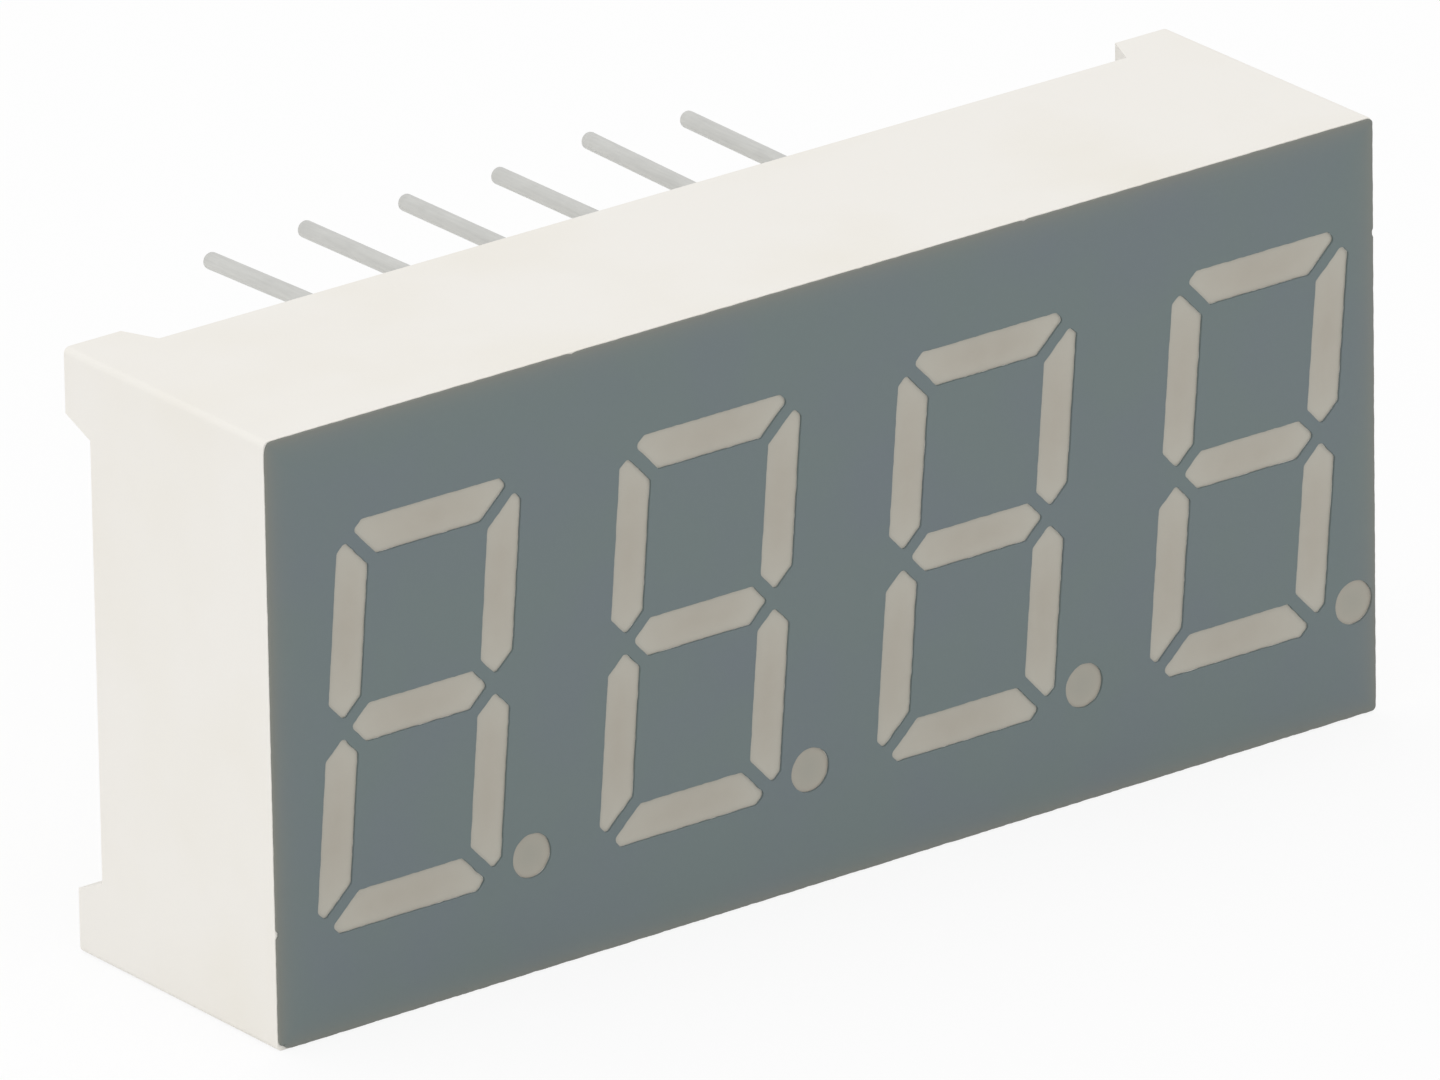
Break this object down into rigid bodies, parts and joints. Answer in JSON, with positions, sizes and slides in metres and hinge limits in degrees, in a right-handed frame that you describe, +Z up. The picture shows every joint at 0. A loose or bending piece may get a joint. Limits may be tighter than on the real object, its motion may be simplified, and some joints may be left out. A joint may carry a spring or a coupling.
{
  "type": "seven-segment led display",
  "caption": "Through-hole numeric display: slanted seven-segment digits with decimal points in a grey face, white housing on corner feet, two rows of straight pins behind.",
  "frame": {"origin": "centre of the pin field, in the seating plane that the four feet touch", "axes": "+X along the row of digits to the reader's right, +Y along the pins away from the reader, +Z up the digits"},
  "size_m": [0.03, 0.0138, 0.014],
  "materials": {
    "white_moulding": "fine satin moulded plastic, warm white",
    "grey_film": "matt printed grey coat with a blue-green tint",
    "diffused_resin": "milky diffused epoxy, satin",
    "board_laminate": "glass-epoxy laminate with green mask",
    "plated_track": "gold-plated copper, satin",
    "led_die": "semiconductor crystal",
    "gold_wire": "bright drawn wire",
    "solder": "dull tin solder",
    "potting": "cast epoxy, slightly glossy, yellowish white",
    "tinned_pin": "matt tin plating"
  },
  "bodies": {
    "root": {"bond_wires": "gold_wire", "circuit_board": "board_laminate", "copper_tracks": "plated_track", "digit_1_point": "diffused_resin", "digit_1_segment_a": "diffused_resin", "digit_1_segment_b": "diffused_resin", "digit_1_segment_c": "diffused_resin", "digit_1_segment_d": "diffused_resin", "digit_1_segment_e": "diffused_resin", "digit_1_segment_f": "diffused_resin", "digit_1_segment_g": "diffused_resin", "digit_2_point": "diffused_resin", "digit_2_segment_a": "diffused_resin", "digit_2_segment_b": "diffused_resin", "digit_2_segment_c": "diffused_resin", "digit_2_segment_d": "diffused_resin", "digit_2_segment_e": "diffused_resin", "digit_2_segment_f": "diffused_resin", "digit_2_segment_g": "diffused_resin", "digit_3_point": "diffused_resin", "digit_3_segment_a": "diffused_resin", "digit_3_segment_b": "diffused_resin", "digit_3_segment_c": "diffused_resin", "digit_3_segment_d": "diffused_resin", "digit_3_segment_e": "diffused_resin", "digit_3_segment_f": "diffused_resin", "digit_3_segment_g": "diffused_resin", "digit_4_point": "diffused_resin", "digit_4_segment_a": "diffused_resin", "digit_4_segment_b": "diffused_resin", "digit_4_segment_c": "diffused_resin", "digit_4_segment_d": "diffused_resin", "digit_4_segment_e": "diffused_resin", "digit_4_segment_f": "diffused_resin", "digit_4_segment_g": "diffused_resin", "face_film": "grey_film", "housing": "white_moulding", "led_dice": "led_die", "pin_01": "tinned_pin", "pin_02": "tinned_pin", "pin_03": "tinned_pin", "pin_04": "tinned_pin", "pin_05": "tinned_pin", "pin_06": "tinned_pin", "pin_07": "tinned_pin", "pin_08": "tinned_pin", "pin_09": "tinned_pin", "pin_10": "tinned_pin", "pin_11": "tinned_pin", "pin_12": "tinned_pin", "potting_resin": "potting", "solder_joints": "solder"}
  },
  "joints": []
}
